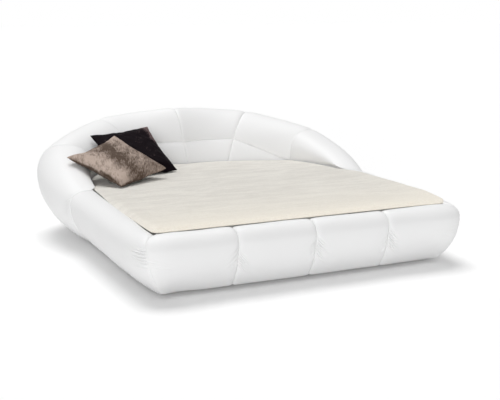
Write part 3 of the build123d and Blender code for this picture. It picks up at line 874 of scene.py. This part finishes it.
class BED_OT_mattress(BedOperator, bpy.types.Operator):
    """Quilted mattress with piped edges"""

    bl_idname = "bed.mattress"
    bl_label = "Mattress"

    def execute(self, context):
        settings = context.scene.bed_mattress
        low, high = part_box("mattress")
        low_level = low[2] + MATTRESS_INSET[0]
        high_level = high[2] - MATTRESS_INSET[1]
        edge = MATTRESS_EDGE
        shares = np.linspace(0, 1, MATTRESS_POINTS)
        top = patch(place_sides(-MATTRESS_GAP - edge, -MATTRESS_GAP - edge, shares), shares)
        rim_points = top.reshape(-1, 2)[rim_of(len(shares))]
        out = rim_normals(rim_points)
        upper = raised(top, high_level - self.quilting(top, settings))
        under = raised(top, low_level)
        profile = self.profile(low_level, high_level)
        layers = np.stack([raised(rim_points + out * o, z) for o, z in profile])
        points, faces = closed_slab(upper, layers, under)
        material = ticking_material(settings)
        piece = new_piece("mattress_cover", points, faces, material, "mattress")
        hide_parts("mattress")
        down = edge * PIPING_DOWN_SHARE
        for name, z in (("upper", high_level - down), ("lower", low_level + down)):
            loop = raised(rim_points + out * (edge * PIPING_OUT_SHARE), z)
            tube, tube_faces = tube_along(loop, PIPING_RADIUS)
            new_piece(f"mattress_piping_{name}", tube, tube_faces, material, "mattress")
        return {"FINISHED"}

    def quilting(self, top, settings):
        """How far each point of the top is sunk: bells along two sets of slanted lines, added up."""
        x, y = top[..., 0], top[..., 1]
        ways = [np.abs(np.sin(math.pi * way / settings.quilt_pitch)) for way in (x + y, x - y)]
        return settings.quilt_depth * np.clip(sum(np.exp(-(way / QUILT_LINE) ** 2) for way in ways), 0, 1)

    def profile(self, low, high):
        """Steps out and levels of the side from the top down: a quarter round, a wall bowed by half a sine
        wave and another quarter round."""
        turn = np.linspace(0, math.pi / 2, ROLL_POINTS)[1:]
        roll = MATTRESS_EDGE * np.stack([np.sin(turn), 1 - np.cos(turn)], axis=1)
        wall = np.linspace(high - MATTRESS_EDGE, low + MATTRESS_EDGE, WALL_LEVELS)[1:-1]
        bow = WALL_BOW * np.sin(np.linspace(0, math.pi, len(wall)))
        return [*((o, high - d) for o, d in roll), *zip(MATTRESS_EDGE + bow, wall),
                *((o, low + d) for o, d in roll[::-1])]


# How the throw lies over the right rail: width of the band that rises, then places along the bed with how
# much further the cloth laps there and how much higher it lies
RIGHT_BAND = 0.16
RIGHT_LAP = ((-1.02, -0.25, 0.0, 0.12, 0.25, 0.35), (0.030, 0.032, 0.046, 0.046, 0.024, 0.0))
RIGHT_RISE = ((-1.02, -0.90, -0.76, -0.45, -0.10, 0.12, 0.30),
              (-0.006, 0.006, 0.018, 0.015, 0.010, 0.009, 0.0))

# The throw's gap above what it lies on, its points along a side, the length of its waves and of its pile's,
# the foot's place, how far the painted light reaches from there, and the shares between which its deep droop
# ends
THROW_GAP = 0.0005
THROW_POINTS = 200
WAVE_LENGTH = 0.45
PILE_LENGTH = 0.04
FOOT_PLACE = -1
FOOT_LIGHT_REACH = 0.4
DROOP_END_SHARES = (0.36, 0.60)


class BED_OT_throw(BedOperator, bpy.types.Operator):
    """Plush throw laid over the mattress, which laps over the rails and ends at the shell"""

    bl_idname = "bed.throw"
    bl_label = "Throw"

    def execute(self, context):
        settings = context.scene.bed_throw
        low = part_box("throw")[0][2]
        half = settings.thickness / 2
        shares = share_steps(THROW_POINTS, evenness=0.6)
        flat = patch(place_sides(settings.lap - half, -settings.gap - half, shares), shares)
        droop = self.droop(shares, settings)
        waves = settings.sag * slow_waves(flat, WAVE_LENGTH, seed=71)
        waves += settings.pile * slow_waves(flat, PILE_LENGTH, seed=72, count=24)
        beside = np.clip((flat[..., 0] - EDGE_WIDE + RIGHT_BAND) / RIGHT_BAND, 0, 1) ** 2
        flat[..., 0] += beside * np.interp(flat[..., 1], *RIGHT_LAP)
        rise = beside * np.interp(flat[..., 1], *RIGHT_RISE)
        level = low + half + THROW_GAP + waves * (1 - droop / droop.max()) - droop + rise
        centre = raised(flat, level)
        rim = rim_of(len(shares))
        rim_points = flat.reshape(-1, 2)[rim]
        out = rim_normals(rim_points)
        turn = np.linspace(0, math.pi, ROLL_POINTS)[1:-1]
        around = centre.reshape(-1, 3)[rim]
        layers = np.stack([around + raised(out * (half * math.sin(a)), half * math.cos(a)) for a in turn])
        points, faces = closed_slab(centre + (0, 0, half), layers, centre - (0, 0, half))
        piece = new_piece("plush_throw", points, faces, plush_material(settings), "throw")
        # Painted light: how much lighter each point is painted, fading away from the foot
        from_foot = np.clip(points[:, 1] - FOOT_PLACE, 0, None)
        point_values(piece, "painted_foot_light", np.exp(-from_foot / FOOT_LIGHT_REACH))
        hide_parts("throw")
        return {"FINISHED"}

    def droop(self, shares, settings):
        """How far each point of the cloth hangs: a bell over the distance from each side, deep at the foot
        and along the left rail and small elsewhere. The deepest of the four counts."""
        from_start = 2 * EDGE_WIDE * shares
        from_end = from_start[::-1]
        left = np.interp(shares, DROOP_END_SHARES, [settings.droop, settings.small_droop])
        bells = [np.exp(-(distance / settings.droop_reach) ** 2) for distance in (from_start, from_end)]
        row = np.ones(len(shares))
        return np.maximum.reduce([
            bells[0][:, None] * settings.droop * row,
            bells[1][:, None] * settings.small_droop * row,
            bells[0][None] * left[:, None],
            bells[1][None] * settings.small_droop * row[:, None]])


class PillowPlace:
    """How one pillow lies: its side, thickness, centre and turns, how far its top and left corners are
    pulled out and up, and how far its upper edge stands up."""

    def __init__(self, side, thick, centre, turn, tilt, spin, top, left, rise):
        self.side = side
        self.thick = thick
        self.top = np.array(top)
        self.left = np.array(left)
        self.rise = rise
        self.matrix = (Matrix.Translation(centre) @ Matrix.Rotation(math.radians(turn), 4, "Z")
                       @ Matrix.Rotation(math.radians(tilt), 4, "X")
                       @ Matrix.Rotation(math.radians(spin), 4, "Z"))

    def pulled(self, x, y):
        """Moves of the cover at shares of the half side: each corner's pull grows as a power of the way to
        it from the middle, and the upper edge rises as a power of the way to it."""
        to_top = np.clip((x + y) / 2, 0, 1) ** 2
        to_left = np.clip((y - x) / 2, 0, 1) ** 4
        moves = to_top[:, None] * self.top + to_left[:, None] * self.left
        moves[:, 2] += self.rise * np.clip(y, 0, 1) ** 1.5
        return moves


PILLOWS = {
    "pillow_dark": PillowPlace(0.53, 0.13, (-0.5152, 0.8319, 0.5518), 12, 28, 0,
                               (-0.010, 0.0, 0.046), (0.0, 0.0, 0.0), 0.020),
    "pillow_taupe": PillowPlace(0.52, 0.13, (-0.7216, 0.5355, 0.5379), 10.5, 19.5, 21.5,
                                (-0.010, 0.022, 0.056), (-0.022, 0.022, 0.010), 0.0),
}

# How far a pillow's sides are drawn in, and how far the middle of its left edge stands up
PILLOW_WAIST = 0.007
PILLOW_EDGE_LIFT = 0.036

# Points along a pillow's side, its fullness and the power that rounds it
PILLOW_POINTS = 58
PILLOW_FULL = 0.86
PILLOW_ROUND = 0.42

# Dents of a pillow's cover: depth, length and number of waves, and how much shorter they are upright
DENTS = ((0.004, 0.16, 9), (0.0025, 0.06, 14))
DENT_STRETCH = (1, 1, 0.6)


def taupe_painted_light(lay):
    """Painted light and shade on the taupe pillow, from 0 to 1, at shares of the half side: a painted
    highlight in a band inside the left edge, painted shade through the middle, a painted highlight by the
    upper right edge, painted shade underneath."""
    x, y, z = lay.T
    band = 0.55 * np.exp(-((x + 0.70) / 0.26) ** 2)
    middle = 0.50 * np.exp(-((x + 0.05 - 0.2 * y) / 0.30) ** 2)
    patch_right = 0.45 * np.exp(-((x - 0.75) / 0.25) ** 2) * np.clip(y + 0.3, 0, 1)
    return np.where(z < 0, -0.05, 0.42 + band - middle + patch_right)


def dark_painted_sheen(lay):
    """The same for the dark pillow: a painted sheen in a band along the right edge and at its upper corner.
    """
    x, y = lay[:, :2].T
    edge = np.exp(-((x - 0.90) / 0.20) ** 2) * np.clip(y + 0.5, 0, 1)
    corner = np.exp(-((x - 0.85) ** 2 + (y - 0.95) ** 2) / 0.3 ** 2)
    return -0.35 + 1.15 * edge + 0.5 * corner


# Painted light and shade of each pillow's velvet
PILLOW_PAINTED_LIGHT = {"pillow_dark": dark_painted_sheen, "pillow_taupe": taupe_painted_light}


def pillow_mesh(place, count):
    """Points and faces of a square pillow's cover, its two faces joined along the rim. The sides are drawn
    in by a parabola, and the half thickness is (1-s^2)(1-t^2) to a power a little under a half."""
    s, t = np.meshgrid(np.linspace(-1, 1, count), np.linspace(-1, 1, count))
    half = place.side / 2
    x = s * (half - PILLOW_WAIST * (1 - t ** 2))
    y = t * (half - PILLOW_WAIST * (1 - s ** 2))
    rise = place.thick / 2 * PILLOW_FULL * np.clip((1 - s ** 2) * (1 - t ** 2), 0, 1) ** PILLOW_ROUND
    upper, lower = (np.stack([x, y, z], axis=-1).reshape(-1, 3) for z in (rise, -rise))
    rim = rim_of(count)
    inner = np.setdiff1d(np.arange(count * count), rim)
    index = np.empty(count * count, dtype=int)
    index[rim] = rim
    index[inner] = count * count + np.arange(len(inner))
    faces = grid_faces(count, count)
    return np.concatenate([upper, lower[inner]]), np.concatenate([faces, index[faces][:, ::-1]])


def coordinates(mesh):
    """Places of a mesh's points."""
    places = np.empty(len(mesh.vertices) * 3)
    mesh.vertices.foreach_get("co", places)
    return places.reshape(-1, 3)


def simulated(piece, settings):
    """Blows the cover up with cloth physics, without gravity, and keeps each point near its start."""
    start = coordinates(piece.data)
    cloth = piece.modifiers.new("cover", "CLOTH")
    cloth.settings.use_pressure = True
    cloth.settings.uniform_pressure_force = settings.pressure
    cloth.settings.effector_weights.gravity = 0
    cloth.settings.quality = 8
    cloth.settings.tension_stiffness = 12
    cloth.settings.bending_stiffness = 0.4
    cloth.point_cache.frame_end = settings.frames
    scene = bpy.context.scene
    for number in range(1, settings.frames + 1):
        scene.frame_set(number)
    step = coordinates(piece.evaluated_get(bpy.context.evaluated_depsgraph_get()).to_mesh()) - start
    size = np.linalg.norm(step, axis=1, keepdims=True)
    step *= np.minimum(1, settings.largest_move / np.maximum(size, 1e-9))
    piece.modifiers.remove(cloth)
    scene.frame_set(1)
    return start + step


def keep_lie(piece, points):
    """Stores the points of the flat cover, turned by an eighth, for the velvet's streaks to follow."""
    layer = piece.data.attributes.new("lay", "FLOAT_VECTOR", "POINT")
    x, y, z = points.T
    across = np.stack([x - y, x + y, z], axis=1)
    layer.data.foreach_set("vector", across.astype(np.float32).ravel())


def dented(points, seed):
    """The cover with slow waves in its thickness, outwards on both faces."""
    lie = points / np.array(DENT_STRETCH)
    dents = sum(deep * slow_waves(lie, length, seed + index, count)
                for index, (deep, length, count) in enumerate(DENTS))
    return points + dents[:, None] * np.sign(points[:, 2:3]) * np.array([0, 0, 1.0])


def in_place(place, points, lay):
    """The cover as it leans: the middle of its left edge lifted, its corners pulled, then turned and moved.
    lay has the points as shares of the half side."""
    edge = np.clip(-lay[:, 0] * 2 - 1, 0, 1) ** 2 * (1 - lay[:, 1] ** 2)
    points[:, 2] += PILLOW_EDGE_LIFT * edge
    points += place.pulled(lay[:, 0], lay[:, 1])
    turn = np.array(place.matrix)
    return points @ turn[:3, :3].T + turn[:3, 3]


class BED_OT_pillows(BedOperator, bpy.types.Operator):
    """Two loose square velvet pillows"""

    bl_idname = "bed.pillows"
    bl_label = "Pillows"

    def execute(self, context):
        settings = context.scene.bed_pillows
        velvets = {
            "pillow_dark": ("dark_velvet", settings.dark, settings.dark_light, 0.0, 0.06),
            "pillow_taupe": ("taupe_velvet", settings.taupe, settings.taupe_light, 0.15, 0.2),
        }
        for name, place in PILLOWS.items():
            points, faces = pillow_mesh(place, PILLOW_POINTS)
            velvet = velvets[name]
            piece = new_piece(f"{name}_cover", points, faces, velvet_material(*velvet), name)
            piece.data.attributes.remove(piece.data.attributes["sharp_edge"])
            points = simulated(piece, settings)
            lay = points / (place.side / 2)
            # Painted light and shade, kept for each point for the velvet
            point_values(piece, "painted_light_and_shade", PILLOW_PAINTED_LIGHT[name](lay))
            keep_lie(piece, points)
            points = in_place(place, dented(points, 81 + len(name)), lay)
            piece.data.vertices.foreach_set("co", points.ravel())
            piece.data.update()
            finer = piece.modifiers.new("finer", "SUBSURF")
            finer.levels = 1
            finer.render_levels = 1
            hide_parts(name)
        return {"FINISHED"}


class BED_OT_carcass(BedOperator, bpy.types.Operator):
    """Finishes of the wood, steel and plastic inside and under the bed"""

    bl_idname = "bed.carcass"
    bl_label = "Carcass Finishes"

    def execute(self, context):
        finishes = {name: timber_material(name, *look) for name, look in TIMBERS.items()}
        finishes |= {name: metal_material(name, *look) for name, look in METALS.items()}
        for part in frame["record"]["subparts"]:
            finish = finishes.get(part["material_slot"])
            if finish is not None:
                for slot in frame["nodes"][part["node"]].material_slots:
                    slot.material = finish
        return {"FINISHED"}


# Half the width of the floor
FLOOR_HALF = 60


class BED_OT_stage(BedOperator, bpy.types.Operator):
    """Camera, light and white floor"""

    bl_idname = "bed.stage"
    bl_label = "Stage"

    def execute(self, context):
        settings = context.scene.bed_stage
        self.camera(context.scene, settings)
        self.light(context.scene, settings)
        self.floor(settings)
        context.scene.view_settings.view_transform = "Standard"
        return {"FINISHED"}

    def camera(self, scene, settings):
        data = bpy.data.cameras.new("camera")
        data.sensor_width = 36
        data.lens = settings.lens
        scene.camera = placed("camera", data)
        scene.camera.location = settings.camera
        scene.camera.rotation_euler = (math.pi / 2 - settings.pitch, 0, -settings.heading)

    def light(self, scene, settings):
        world = bpy.data.worlds.new("room")
        scene.world = world
        tree = Tree(world)
        room = tree.feed(tree.nodes["Background"], {"Strength": settings.room, "Color": (1, 1, 1)})
        white = tree.add("Background", {"Strength": 1, "Color": (1, 1, 1)})
        seen = tree.add("LightPath", {}).outputs["Is Camera Ray"]
        choice = tree.add("MixShader", {"Fac": seen, 1: room.outputs[0], 2: white.outputs[0]})
        tree.feed(tree.nodes["World Output"], {"Surface": choice.outputs[0]})
        self.lamp("above", settings.above, 36, (-20, -4))
        self.lamp("front", settings.front, 40, (79, -30))

    def lamp(self, name, energy, angle, turns):
        """Soft far light, as wide as an angle in degrees. It is turned by degrees from straight down, first
        about the X axis and then about the upright."""
        sun = bpy.data.lights.new(name, "SUN")
        sun.energy = energy
        sun.angle = math.radians(angle)
        placed(name, sun).rotation_euler = (math.radians(turns[0]), 0, math.radians(turns[1]))

    def floor(self, settings):
        material, tree = new_material("white_floor")
        seen = tree.add("LightPath", {}).outputs["Is Camera Ray"]
        tree.shade({
            "Base Color": (0.93, 0.93, 0.93), "Roughness": 0.9, "Specular IOR Level": 0.0,
            "Emission Color": (1, 1, 1),
            "Emission Strength": tree.maths("MULTIPLY", seen, settings.floor_white)})
        mesh = bpy.data.meshes.new("floor")
        corners = [(-1, -1), (1, -1), (1, 1), (-1, 1)]
        mesh.from_pydata([(x * FLOOR_HALF, y * FLOOR_HALF, 0) for x, y in corners], [], [(0, 1, 2, 3)])
        mesh.materials.append(material)
        placed("floor", mesh)


class BED_PT_panel(bpy.types.Panel):
    """Sizes, colours and steps of the bed"""

    bl_label = "Round Bed"
    bl_idname = "BED_PT_panel"
    bl_space_type = "VIEW_3D"
    bl_region_type = "UI"
    bl_category = "Round Bed"

    def draw(self, context):
        for name in SETTINGS:
            box = self.layout.box()
            settings = getattr(context.scene, name)
            for key in settings.__annotations__:
                box.prop(settings, key)
        for operator in OPERATORS:
            self.layout.operator(operator.bl_idname)


SETTINGS = {
    "bed_padding": PaddingSettings,
    "bed_mattress": MattressSettings,
    "bed_throw": ThrowSettings,
    "bed_pillows": PillowSettings,
    "bed_stage": StageSettings,
}
OPERATORS = [BED_OT_rail_pads, BED_OT_shell_pads, BED_OT_mattress, BED_OT_throw, BED_OT_pillows,
             BED_OT_carcass, BED_OT_stage]
CLASSES = [*SETTINGS.values(), *OPERATORS, BED_PT_panel]


def register():
    for item in CLASSES:
        bpy.utils.register_class(item)
    for name, group in SETTINGS.items():
        setattr(bpy.types.Scene, name, PointerProperty(type=group))


def unregister():
    for name in SETTINGS:
        delattr(bpy.types.Scene, name)
    for item in reversed(CLASSES):
        bpy.utils.unregister_class(item)


def main():
    register()
    bpy.ops.bed.stage()
    bpy.ops.bed.carcass()
    bpy.ops.bed.rail_pads()
    bpy.ops.bed.shell_pads()
    bpy.ops.bed.mattress()
    bpy.ops.bed.throw()
    bpy.ops.bed.pillows()


if __name__ == "__main__":
    main()
